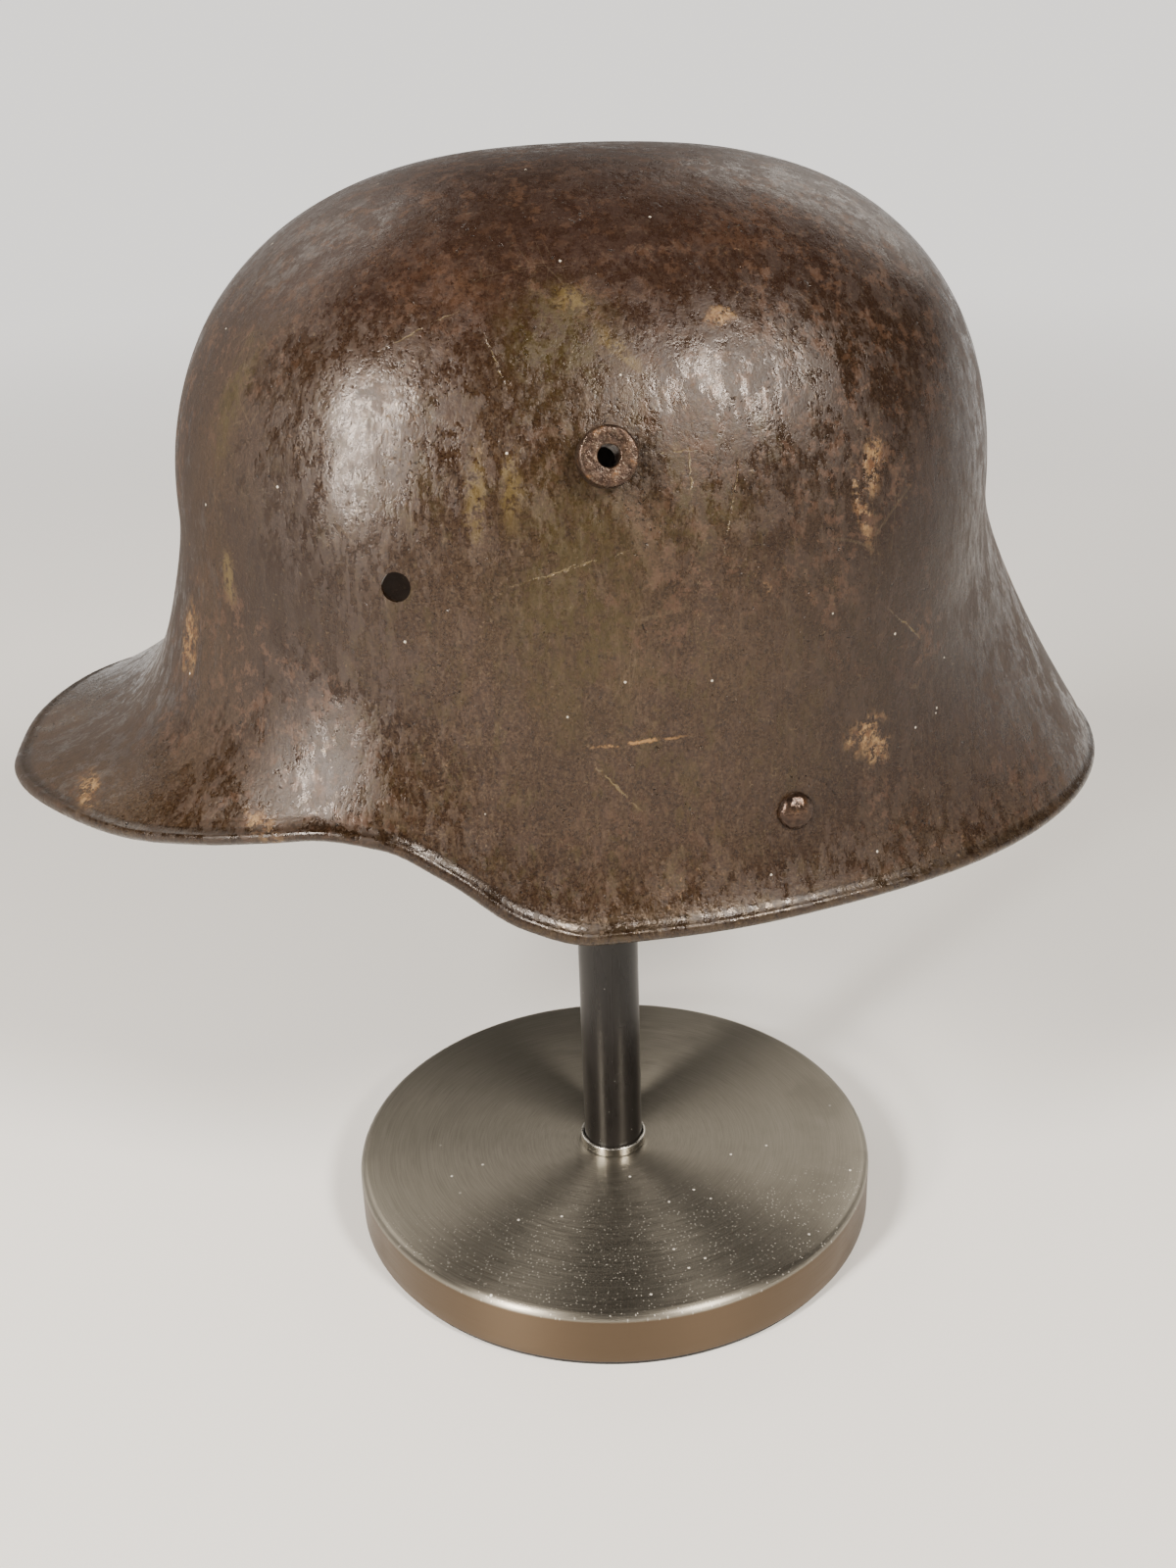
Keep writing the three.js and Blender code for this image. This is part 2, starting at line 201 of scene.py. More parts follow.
def edge_lift(turn):
    """Smooth curve through EDGE_ROWS that never swings past them."""
    place = np.degrees(turn) % 360
    place = np.minimum(place, 360 - place)
    at = np.array([row["turn"] for row in EDGE_ROWS], float)
    lift = np.array([row["lift"] for row in EDGE_ROWS], float)
    slope = np.diff(lift) / np.diff(at)
    pull = np.zeros(len(at))
    for i in range(1, len(at) - 1):
        if slope[i - 1] * slope[i] > 0:
            pull[i] = 2 * slope[i - 1] * slope[i] / (slope[i - 1] + slope[i])
    i = np.clip(np.searchsorted(at, place, side="left") - 1, 0, len(at) - 2)
    width = at[i + 1] - at[i]
    t = (place - at[i]) / width
    start = (1 + 2 * t) * (1 - t) ** 2 * lift[i] + t * (1 - t) ** 2 * width * pull[i]
    end = t * t * (3 - 2 * t) * lift[i + 1] + t * t * (t - 1) * width * pull[i + 1]
    return VISOR_LIFT * (start + end)


def oval(turn, front, back, half, squareness):
    along = power(np.cos(turn), 2 / squareness)
    across = power(np.sin(turn), 2 / squareness)
    return -np.where(along > 0, front, back) * along, -half * across


def front_side_back(turn, front, side, back):
    return lerp(np.where(np.cos(turn) > 0, front, back), side, np.sin(turn) ** 2)


def face_point(turn, down):
    """Outer face in helmet millimetres. Down is 0 at the crown, 1 at the flare and 2 at the edge."""
    turn, down = np.broadcast_arrays(np.asarray(turn, float), np.asarray(down, float))
    wx, wy = oval(turn, SKULL_FRONT, SKULL_BACK, SKULL_WIDTH / 2, SKULL_SQUARENESS)
    wz = front_side_back(turn, BROW_HEIGHT, EAR_HEIGHT, NAPE_HEIGHT)
    fullness = lerp(CROWN_FULLNESS_BACK, CROWN_FULLNESS_FRONT, 0.5 + 0.5 * np.cos(turn))
    upper = np.clip(down, 0, 1) * math.pi / 2
    spread = np.sin(upper) ** (2 / fullness)
    rise = np.clip(np.cos(upper), 0, 1) ** (2 / CROWN_FLATNESS)
    skull = np.stack([lerp(CROWN_BACK, wx, spread), wy * spread, wz + (CROWN_HEIGHT - wz) * rise], -1)
    edge_half = SKULL_WIDTH / 2 + SKIRT_REACH
    ex, ey = oval(turn, SKULL_FRONT + VISOR_REACH, SKULL_BACK + NECK_REACH, edge_half, EDGE_SQUARENESS)
    fall = np.clip(down - 1, 0, 1)
    sweep = VISOR_SWEEP * np.maximum(0, np.cos(turn))
    ease = np.where(np.cos(turn) > 0, FLANK_EASE * np.sin(2 * turn) ** 2, 0)
    late = fall ** (front_side_back(turn, VISOR_CURVE, SKIRT_CURVE, NECK_CURVE) - ease)
    reach = (1 - sweep) * late + sweep * fall ** SWEEP_CURVE
    flare = np.stack([lerp(wx, ex, reach), lerp(wy, ey, reach), lerp(wz, edge_lift(turn), fall)], -1)
    return np.where((down <= 1)[..., None], skull, flare)


def unit(v):
    return v / np.maximum(np.linalg.norm(v, axis=-1, keepdims=True), 1e-12)


def face_frame(turn, down):
    """Down the face and out of it, as unit vectors, with the slope in mm per unit of down."""
    turn, down = np.broadcast_arrays(np.asarray(turn, float), np.asarray(down, float))
    step = 0.004
    low = np.minimum(2, down + step)
    high = np.where(down > 1, np.maximum(1.001, down - step), np.maximum(0.01, down - step))
    downward = face_point(turn, low) - face_point(turn, high)
    slope = np.linalg.norm(downward, axis=-1) / (low - high)
    downward = unit(downward)
    around = unit(face_point(turn + step, down) - face_point(turn - step, down))
    return downward, unit(np.cross(downward, around)), slope


disc_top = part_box("base_disc")[1].z
shell_low, shell_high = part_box("shell")
rest_low, rest_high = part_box("crown_rest")
crown = rest_high.z + (SEAT_GAP + SHEET) * MM
shell_middle = (shell_low.x + shell_high.x) / 2
helmet_x = shell_middle - (SKULL_BACK + NECK_REACH - SKULL_FRONT - VISOR_REACH) / 2 * MM
helmet_place = Vector((helmet_x, 0, crown - CROWN_HEIGHT * MM))


def seat_at(turn_degrees, height):
    """Point and outward direction on the outer face, in metres in the frame."""
    turn = math.radians(turn_degrees)
    above, below = 0.0, 2.0
    for _ in range(40):
        middle = (above + below) / 2
        if face_point(turn, middle)[2] > height:
            above = middle
        else:
            below = middle
    downward, outward, _ = face_frame(turn, above)
    return helmet_place + Vector(face_point(turn, above)) * MM, Vector(outward), Vector(downward)


def mirrored(seat):
    return tuple(Vector((v.x, -v.y, v.z)) for v in seat)


lug_seats = {"left": seat_at(LUG_TURN, LUG_HEIGHT)}
rivet_seats = {"left": seat_at(RIVET_TURN, RIVET_HEIGHT)}
lug_seats["right"] = mirrored(lug_seats["left"])
rivet_seats["right"] = mirrored(rivet_seats["left"])
pin_seat = seat_at(PIN_SIDE_TURN, PIN_SIDE_HEIGHT)
pin_seats = [pin_seat, mirrored(pin_seat), seat_at(180, PIN_BACK_HEIGHT)]


# Mesh helpers
def new_object(name, vertices, faces, smooth=True):
    mesh = bpy.data.meshes.new(name)
    mesh.from_pydata([tuple(v) for v in vertices], [], faces)
    mesh.validate()
    if smooth:
        mesh.shade_smooth()
    obj = bpy.data.objects.new(name, mesh)
    bpy.context.collection.objects.link(obj)
    return obj


def turned(name, profile, facets, smooth_under=50):
    """Turned body about Z. The profile of [radius, height] in metres ends on the axis or closes on itself."""
    closed = profile[0] == profile[-1]
    rows = profile[:-1] if closed else profile
    vertices, index = [], []
    for radius, height in rows:
        if radius == 0:
            index.append([len(vertices)] * facets)
            vertices.append((0, 0, height))
            continue
        index.append([len(vertices) + i for i in range(facets)])
        for i in range(facets):
            angle = 2 * math.pi * i / facets
            vertices.append((radius * math.cos(angle), radius * math.sin(angle), height))
    faces = []
    for a, b in zip(index, index[1:] + index[:1] if closed else index[1:]):
        for i in range(facets):
            j = (i + 1) % facets
            corners = [a[i], a[j], b[j], b[i]]
            faces.append(tuple(dict.fromkeys(corners)))
    obj = new_object(name, vertices, [f for f in faces if len(f) > 2])
    obj.data.set_sharp_from_angle(angle=math.radians(smooth_under))
    return obj


def arc(cx, cy, radius, start, end, steps):
    """Points [radius from the axis, height] on an arc, angles in degrees."""
    rows = []
    for i in range(steps + 1):
        a = math.radians(lerp(start, end, i / steps))
        rows.append([cx + radius * math.cos(a), cy + radius * math.sin(a)])
    return rows


def stand_on(obj, seat, spin=0.0):
    """Sets a body made about +Z on the helmet's face."""
    point, outward, _ = seat
    turn = Vector((0, 0, 1)).rotation_difference(outward).to_matrix().to_4x4()
    obj.data.transform(Matrix.Translation(point) @ turn @ Matrix.Rotation(spin, 4, "Z"))


# Shell
def unevenness(point):
    """Gentle waves and dings of pressed sheet, in mm."""
    p = Vector(point) * MM
    broad = noise.noise(p * 17 + Vector((3.1, 7.7, 1.3)))
    middle = noise.noise(p * 42 + Vector((9.2, 0.4, 5.5)))
    return UNEVENNESS * (broad + 0.45 * middle)


def shell_mesh():
    """Points, faces and the finish of each face: 0 outside, 1 inside, 2 the rolled edge."""
    columns = SHELL_COLUMNS
    turn = np.arange(columns) / columns * 2 * math.pi
    _, _, slope = face_frame(turn, 2.0)
    flare_end = 1 - (2 * BEAD_RADIUS + SHEET) / slope
    downs = [np.full(columns, i / SKULL_ROWS) for i in range(1, SKULL_ROWS + 1)]
    downs += [1 + flare_end * (1 - (1 - i / FLARE_ROWS) ** ROWS_TO_EDGE) for i in range(1, FLARE_ROWS + 1)]
    outer, inner = [], []
    for n, down in enumerate(downs):
        point = face_point(turn, down)
        _, outward, _ = face_frame(turn, down)
        wave = np.array([unevenness(p) for p in point])[:, None]
        fade = np.clip((len(downs) - 1 - n) / EVEN_ROWS, 0, 1)
        outer.append(point + outward * wave * fade)
        if n % INNER_EVERY == INNER_EVERY - 1 or n == len(downs) - 1:
            inner.append(point + outward * (wave * fade - SHEET))
    tip = face_point(turn, 2.0)
    downward, outward, _ = face_frame(turn, 2.0)
    middle = tip - BEAD_RADIUS * downward + (BEAD_PROUD - BEAD_RADIUS) * outward
    start = math.pi - math.asin((BEAD_RADIUS - BEAD_PROUD) / BEAD_RADIUS)
    end = -math.pi - math.asin((BEAD_RADIUS - BEAD_PROUD - SHEET) / BEAD_RADIUS)
    bead = []
    for i in range(BEAD_STEPS + 1):
        angle = lerp(start, end, i / BEAD_STEPS)
        bead.append(middle + BEAD_RADIUS * (math.cos(angle) * downward + math.sin(angle) * outward))
    rings = outer + bead + inner[::-1]
    top = np.array([CROWN_BACK, 0, CROWN_HEIGHT])
    top = top + np.array([0, 0, unevenness(top)])
    points = [top] + [p for ring in rings for p in ring] + [top - np.array([0, 0, SHEET])]
    faces, finishes = [], []
    last_outer = len(outer) + len(bead) - 4

    def at(ring, column):
        return 1 + ring * columns + column % columns

    for c in range(columns):
        faces.append((0, at(0, c), at(0, c + 1)))
        finishes.append(0)
        for r in range(len(rings) - 1):
            faces.append((at(r, c), at(r + 1, c), at(r + 1, c + 1), at(r, c + 1)))
            finishes.append(1 if r >= last_outer else 2 if r >= len(outer) - 1 else 0)
        faces.append((at(len(rings) - 1, c), len(points) - 1, at(len(rings) - 1, c + 1)))
        finishes.append(1)
    place = np.array(helmet_place)
    return [place + np.array(p) * MM for p in points], faces, finishes


def cutter(seat, radius, material):
    radius, reach = radius * MM, 8 * SHEET * MM
    profile = [[0, -reach], [radius, -reach], [radius, reach], [0, reach]]
    obj = turned("cutter", profile, 48)
    obj.data.materials.append(material)
    stand_on(obj, seat)
    return obj


def build_shell(outside, inside, rim):
    vertices, faces, finishes = shell_mesh()
    obj = new_object("shell_fine", vertices, faces)
    for material in (outside, inside, rim):
        obj.data.materials.append(material)
    obj.data.polygons.foreach_set("material_index", finishes)
    cutters = []
    for side in ("left", "right"):
        cutters.append(cutter(lug_seats[side], LUG_SHANK + SEAT_GAP, inside))
        cutters.append(cutter(rivet_seats[side], RIVET_SHANK + SEAT_GAP, inside))
    # The pin holes' walls take the rim finish with its painted shade.
    cutters += [cutter(seat, PIN_HOLE_RADIUS, rim) for seat in pin_seats]
    for tool in cutters:
        cut = obj.modifiers.new("hole", "BOOLEAN")
        cut.operation = "DIFFERENCE"
        cut.solver = "EXACT"
        cut.object = tool
    graph = bpy.context.evaluated_depsgraph_get()
    holed = bpy.data.meshes.new_from_object(obj.evaluated_get(graph))
    obj.modifiers.clear()
    obj.data = holed
    for tool in cutters:
        bpy.data.objects.remove(tool)
    holed.shade_smooth()
    holed.set_sharp_from_angle(angle=math.radians(48))
    return obj


# Fittings
def build_lug(side):
    """Turned lug with a worn, slightly uneven rim, a countersunk bore and a spread end inside."""
    behind = -(SHEET + INNER_SEAT_GAP)
    rim, lip = 0.85, 0.35
    profile = [[LUG_BORE, behind - LUG_END_THICKNESS + 0.2], [LUG_BORE + 0.2, behind - LUG_END_THICKNESS]]
    profile += arc(LUG_END - 0.3, behind - LUG_END_THICKNESS + 0.3, 0.3, -90, 0, 3)
    profile += [[LUG_END, behind], [LUG_SHANK, behind], [LUG_SHANK, SEAT_GAP]]
    profile += arc(LUG_RADIUS - 0.35, SEAT_GAP + 0.25, 0.25, -90, 0, 3)
    profile += [[LUG_RADIUS - 0.1, SEAT_GAP + 0.9], [LUG_RADIUS - 0.14, LUG_LENGTH * 0.5]]
    profile += arc(LUG_RADIUS - 0.14 - rim, LUG_LENGTH - rim, rim, 0, 84, 6)
    profile += [[LUG_RADIUS - 1.7, LUG_LENGTH - 0.02], [LUG_BORE + 1.4, LUG_LENGTH - 0.06]]
    profile += arc(LUG_BORE + lip, LUG_LENGTH - 0.1 - lip, lip, 90, 180, 4)
    profile += [[LUG_BORE, LUG_LENGTH * 0.4], [LUG_BORE, 0]]
    rows = [[r * MM, h * MM] for r, h in profile]
    obj = turned(f"lug_{side}", rows + [rows[0]], 96, 40)
    seed = Vector((4.0, 1.0, 2.0)) if side == "left" else Vector((1.5, 6.0, 3.0))
    for v in obj.data.vertices:
        out = Vector((v.co.x, v.co.y, 0))
        if v.co.z > SEAT_GAP * MM and out.length > (LUG_BORE + 0.1) * MM:
            wear = noise.noise(v.co * 420 + seed) * 0.10 + noise.noise(v.co * 1100 + seed) * 0.05
            v.co += (out.normalized() * 0.8 + Vector((0, 0, 0.6))) * wear * MM
    stand_on(obj, lug_seats[side])
    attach(obj, "root")
    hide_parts(f"vent_lug_{side}")
    return obj


def build_rivet(side):
    """Domed rivet with hammer flats on its head."""
    behind = -(SHEET + INNER_SEAT_GAP)
    profile = [[0, behind - RIVET_END_THICKNESS], [RIVET_END - 0.3, behind - RIVET_END_THICKNESS]]
    profile += [[RIVET_END, behind - RIVET_END_THICKNESS + 0.3], [RIVET_END, behind], [RIVET_SHANK, behind]]
    profile += [[RIVET_SHANK, SEAT_GAP], [RIVET_HEAD - 0.15, SEAT_GAP], [RIVET_HEAD, SEAT_GAP + 0.12]]
    for i in range(1, 16):
        a = i / 16 * math.pi / 2
        profile.append([RIVET_HEAD * math.cos(a) ** 0.9, SEAT_GAP + 0.12 + (RIVET_RISE - 0.12) * math.sin(a)])
    profile.append([0, SEAT_GAP + RIVET_RISE])
    obj = turned(f"rivet_{side}", [[r * MM, h * MM] for r, h in profile], 72, 40)
    seed = Vector((2.0, 5.0, 8.0)) if side == "left" else Vector((7.0, 3.0, 1.0))
    for v in obj.data.vertices:
        if v.co.z > (SEAT_GAP + 0.2) * MM:
            v.co.z += noise.noise(v.co * 520 + seed) * 0.16 * MM
    stand_on(obj, rivet_seats[side])
    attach(obj, "root")
    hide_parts(f"chinstrap_rivet_{side}")
    return obj


# Stand pieces
def stand_piece(name, node, profile, facets=192, smooth_under=50):
    obj = turned(name, profile, facets, smooth_under)
    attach(obj, "root")
    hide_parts(node)
    return obj


def sag(dome, out):
    """How far a dome has dropped at a distance from its axis."""
    return dome - math.sqrt(dome ** 2 - out ** 2)


def build_stand():
    low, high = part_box("base_pad")
    radius, edge = high.x, PAD_EDGE * MM
    pad = [[0, low.z], [radius - edge, low.z]] + arc(radius - edge, low.z + edge, edge, -90, 0, 3)[1:]
    pad += [[radius, high.z], [0, high.z]]
    pieces = {"pad": stand_piece("pad_fine", "base_pad", pad)}

    low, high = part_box("base_disc")
    post_low, post_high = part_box("post")
    collar_low, collar_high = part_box("post_collar")
    radius, edge, foot = high.x, DISC_EDGE * MM, DISC_FOOT * MM
    seat = post_high.x + SEAT_GAP * MM
    disc = [[0, low.z], [radius - foot, low.z]] + arc(radius - foot, low.z + foot, foot, -90, 0, 3)[1:]
    disc += [[radius, lerp(low.z, high.z, i / 4)] for i in (1, 2, 3)]
    disc += arc(radius - edge, high.z - edge, edge, 0, 90, 10)
    disc += [[lerp(radius - edge, seat, i / 12), high.z] for i in range(1, 13)]
    disc += [[seat, post_low.z - SEAT_GAP * MM], [0, post_low.z - SEAT_GAP * MM]]
    pieces["disc"] = stand_piece("disc_fine", "base_disc", disc, 256, 35)

    outer, inner = collar_high.x, post_high.x + SEAT_GAP * MM
    soft = COLLAR_EDGE * MM
    collar = [[inner, collar_low.z], [outer, collar_low.z]]
    collar += arc(outer - soft, collar_high.z - soft, soft, 0, 90, 5)
    collar += [[inner + 0.1 * MM, collar_high.z], [inner, collar_high.z - 0.1 * MM], [inner, collar_low.z]]
    pieces["collar"] = stand_piece("collar_fine", "post_collar", collar, 128, 35)

    outer, inner, edge = post_high.x, post_high.x - POST_WALL * MM, TUBE_EDGE * MM
    tube = [[inner, post_low.z], [outer, post_low.z]]
    tube += [[outer, lerp(post_low.z, post_high.z - edge, i / 8)] for i in range(1, 9)]
    tube += [[outer - edge, post_high.z], [inner, post_high.z], [inner, post_low.z]]
    pieces["post"] = stand_piece("post_fine", "post", tube, 128)

    spigot = inner - SEAT_GAP * MM
    seat = post_high.z + SEAT_GAP * MM
    radius, dome = rest_high.x, REST_CROWN_RADIUS * MM
    foot, edge, rim = SPIGOT_EDGE * MM, REST_EDGE * MM, REST_RIM * MM
    rest = [[0, rest_low.z], [spigot - foot, rest_low.z], [spigot, rest_low.z + foot], [spigot, seat]]
    rest += [[radius - edge, seat]] + arc(radius - edge, seat + edge, edge, -90, 0, 4)[1:]
    rest += arc(radius - rim, rest_high.z - sag(dome, radius) - rim, rim, 0, 60, 3)
    for i in range(11, -1, -1):
        out = radius * i / 12
        rest.append([out, rest_high.z - sag(dome, out)])
    pieces["rest"] = stand_piece("rest_fine", "crown_rest", rest, 96)
    return pieces


# Material helper
class Finish:
    """A node material: each method adds one node and gives back its output."""

    def __init__(self, name):
        self.material = bpy.data.materials.new(name)
        self.material.use_nodes = True
        self.nodes = self.material.node_tree.nodes
        self.links = self.material.node_tree.links
        self.nodes.clear()
        self.place = self.add("ShaderNodeTexCoord").outputs["Object"]

    def add(self, kind, **settings):
        node = self.nodes.new(kind)
        for key, value in settings.items():
            setattr(node, key, value)
        return node

    def put(self, socket, value):
        if isinstance(value, bpy.types.NodeSocket):
            self.links.new(value, socket)
        elif isinstance(value, (tuple, list)) and len(value) == 3 and socket.type == "RGBA":
            socket.default_value = (*value, 1)
        else:
            socket.default_value = value

    def math(self, operation, a, b=0.0, clamp=False):
        node = self.add("ShaderNodeMath", operation=operation, use_clamp=clamp)
        self.put(node.inputs[0], a)
        self.put(node.inputs[1], b)
        return node.outputs[0]

    def plus(self, a, b, clamp=False):
        return self.math("ADD", a, b, clamp)

    def minus(self, a, b):
        return self.math("SUBTRACT", a, b)

    def times(self, a, b):
        return self.math("MULTIPLY", a, b)

    def vector(self, operation, a, b=(0, 0, 0)):
        node = self.add("ShaderNodeVectorMath", operation=operation)
        self.put(node.inputs[0], a)
        self.put(node.inputs[1], b)
        return node.outputs["Value" if operation in ("LENGTH", "DOT_PRODUCT", "DISTANCE") else "Vector"]

    def noise(self, scale, detail=4, rough=0.55, where=None):
        node = self.add("ShaderNodeTexNoise")
        self.put(node.inputs["Vector"], self.place if where is None else where)
        self.put(node.inputs["Scale"], scale)
        self.put(node.inputs["Detail"], detail)
        self.put(node.inputs["Roughness"], rough)
        return node.outputs["Fac"]

    def shaken(self, scale, detail, distance):
        """The place, moved about by noise, for ragged edges."""
        node = self.add("ShaderNodeTexNoise")
        self.put(node.inputs["Vector"], self.place)
        self.put(node.inputs["Scale"], scale)
        self.put(node.inputs["Detail"], detail)
        shift = self.vector("SUBTRACT", node.outputs["Color"], (0.5, 0.5, 0.5))
        return self.vector("ADD", self.place, self.vector("MULTIPLY", shift, (distance,) * 3))

    def cells(self, scale, where=None, feature="F1", space="3D"):
        node = self.add("ShaderNodeTexVoronoi", feature=feature, voronoi_dimensions=space)
        self.put(node.inputs["Vector"], self.place if where is None else where)
        self.put(node.inputs["Scale"], scale)
        return node.outputs["Distance"]

    def stretch(self, scale, where=None, rotation=(0, 0, 0), location=(0, 0, 0)):
        node = self.add("ShaderNodeMapping")
        self.put(node.inputs["Vector"], self.place if where is None else where)
        self.put(node.inputs["Scale"], scale)
        self.put(node.inputs["Rotation"], rotation)
        self.put(node.inputs["Location"], location)
        return node.outputs[0]

    def step(self, value, low, high, to_low=0.0, to_high=1.0):
        node = self.add("ShaderNodeMapRange", interpolation_type="SMOOTHSTEP")
        self.put(node.inputs["Value"], value)
        self.put(node.inputs["From Min"], low)
        self.put(node.inputs["From Max"], high)
        self.put(node.inputs["To Min"], to_low)
        self.put(node.inputs["To Max"], to_high)
        return node.outputs[0]

    def ramp(self, value, *stops):
        node = self.add("ShaderNodeValToRGB")
        self.put(node.inputs[0], value)
        elements = node.color_ramp.elements
        while len(elements) < len(stops):
            elements.new(0.5)
        for element, (position, colour) in zip(elements, stops):
            element.position = position
            element.color = (*colour, 1)
        return node.outputs[0]

    def mix(self, share, a, b, blend="MIX"):
        node = self.add("ShaderNodeMix", data_type="RGBA", blend_type=blend)
        self.put(node.inputs[0], share)
        self.put(node.inputs[6], a)
        self.put(node.inputs[7], b)
        return node.outputs[2]

    def bump(self, height, distance, strength=1.0, normal=None):
        node = self.add("ShaderNodeBump")
        self.put(node.inputs["Height"], height)
        self.put(node.inputs["Distance"], distance)
        self.put(node.inputs["Strength"], strength)
        if normal is not None:
            self.put(node.inputs["Normal"], normal)
        return node.outputs[0]

    def mark(self, seat, length, width, lean=0.0, place=None, edge=0.45):
        """Soft-edged oval on the face: 1 inside, 0 outside. Lengths in mm, lean in degrees from level."""
        depth = max(12, 0.6 * max(length, width))
        point, outward, downward = seat
        level = outward.cross(downward).normalized()
        along = Matrix.Rotation(math.radians(lean), 3, outward) @ level
        across = outward.cross(along).normalized()
        basis = Matrix((along, across, outward)).transposed()
        node = self.add("ShaderNodeMapping", vector_type="TEXTURE")
        self.put(node.inputs["Vector"], self.place if place is None else place)
        self.put(node.inputs["Location"], point)
        self.put(node.inputs["Rotation"], basis.to_euler())
        self.put(node.inputs["Scale"], (length / 2 * MM, width / 2 * MM, depth * MM))
        return self.step(self.vector("LENGTH", node.outputs[0]), 1 + edge, 1 - edge)

    def finish(self, **sockets):
        shader = self.add("ShaderNodeBsdfPrincipled")
        for name, value in sockets.items():
            self.put(shader.inputs[name.replace("_", " ")], value)
        output = self.add("ShaderNodeOutputMaterial")
        self.links.new(shader.outputs[0], output.inputs[0])
        return self.material


# Placed marks on the face: turn and height give the place, then length, width and lean.
# In FILM_MARKS, more adds to the film's cover and matte adds to the roughness.
RUST_MARKS = [
    {"turn": 20.2, "height": 63.5, "length": 9, "width": 17, "lean": 8},
    {"turn": 118.9, "height": 106, "length": 6, "width": 13, "lean": -25},
    {"turn": 116.6, "height": 98, "length": 4, "width": 17, "lean": 8},
    {"turn": 117.5, "height": 41, "length": 10, "width": 9, "lean": 20},
    {"turn": 119, "height": 36, "length": 7, "width": 7, "lean": 0},
    {"turn": 101.2, "height": 141, "length": 8, "width": 4, "lean": 10},
    {"turn": 26, "height": 28.5, "length": 16, "width": 6, "lean": 0},
    {"turn": 55.5, "height": 31, "length": 12, "width": 5, "lean": 0},
    {"turn": 233, "height": 70, "length": 9, "width": 15, "lean": 0},
    {"turn": 262, "height": 122, "length": 13, "width": 8, "lean": 20},
    {"turn": 284, "height": 40, "length": 12, "width": 8, "lean": -15},
    {"turn": 322, "height": 96, "length": 8, "width": 14, "lean": 10},
    {"turn": 172, "height": 60, "length": 12, "width": 16, "lean": 0},
    {"turn": 190, "height": 128, "length": 14, "width": 8, "lean": 15},
    {"turn": 352, "height": 118, "length": 9, "width": 12, "lean": 0},
]
# Darker patches: partly the steel's own darker tone, partly painted shade for the dimmer sheen and darker
# reflections on these parts of the face.
DARK_TONE_AND_SHADE_MARKS = [
    {"turn": 44, "height": 82, "length": 52, "width": 84, "lean": 0},
    {"turn": 124, "height": 86, "length": 74, "width": 150, "lean": 0},
    {"turn": 232, "height": 96, "length": 70, "width": 110, "lean": 0},
    {"turn": 318, "height": 74, "length": 56, "width": 70, "lean": 0},
    {"turn": 14, "height": 96, "length": 50, "width": 120, "lean": 0},
]
BROWN_MARKS = [
    {"turn": 110.5, "height": 158, "length": 24, "width": 16, "lean": 0},
    {"turn": 66, "height": 150, "length": 30, "width": 14, "lean": -20},
    {"turn": 247, "height": 139, "length": 22, "width": 14, "lean": 10},
    {"turn": 342, "height": 146, "length": 20, "width": 16, "lean": 0},
]
OLIVE_MARKS = [
    {"turn": 85.5, "height": 84, "length": 32, "width": 58, "lean": 0},
    {"turn": 84, "height": 138, "length": 24, "width": 26, "lean": -10},
    {"turn": 31, "height": 125, "length": 9, "width": 30, "lean": -6},
    {"turn": 96, "height": 101, "length": 20, "width": 12, "lean": 8},
    {"turn": 268, "height": 82, "length": 34, "width": 50, "lean": 0},
    {"turn": 281, "height": 131, "length": 22, "width": 26, "lean": 12},
    {"turn": 212, "height": 112, "length": 20, "width": 34, "lean": 0},
    {"turn": 338, "height": 100, "length": 18, "width": 34, "lean": 0},
]
YELLOW_MARKS = [
    {"turn": 74.6, "height": 107.5, "length": 4.4, "width": 18, "lean": 0},
    {"turn": 78.8, "height": 109, "length": 4, "width": 15, "lean": 0},
    {"turn": 85.5, "height": 146, "length": 8, "width": 6, "lean": -30},
    {"turn": 90, "height": 136, "length": 12, "width": 3, "lean": -50},
    {"turn": 33, "height": 84, "length": 5, "width": 12, "lean": 0},
    {"turn": 272, "height": 118, "length": 5, "width": 17, "lean": 0},
    {"turn": 205, "height": 132, "length": 10, "width": 7, "lean": 15},
]
FILM_MARKS = [
    {"turn": 56, "height": 120, "length": 34, "width": 62, "lean": 0, "more": 0.06, "matte": 0},
    {"turn": 50, "height": 46, "length": 62, "width": 52, "lean": 0, "more": 0.008, "matte": 0},
    {"turn": 10, "height": 92, "length": 60, "width": 150, "lean": 0, "more": -0.035, "matte": 0.23},
    {"turn": 37, "height": 78, "length": 36, "width": 62, "lean": 0, "more": -0.025, "matte": 0.15},
    {"turn": 14, "height": 26, "length": 70, "width": 50, "lean": 0, "more": -0.02, "matte": 0.13},
    {"turn": 165, "height": 70, "length": 70, "width": 120, "lean": 0, "more": -0.02, "matte": 0.14},
    {"turn": 101, "height": 124, "length": 60, "width": 60, "lean": 0, "more": -0.035, "matte": 0},
    {"turn": 22, "height": 105, "length": 50, "width": 90, "lean": 0, "more": -0.07, "matte": 0.2},
    {"turn": 302, "height": 118, "length": 40, "width": 60, "lean": 0, "more": 0.05, "matte": 0},
]
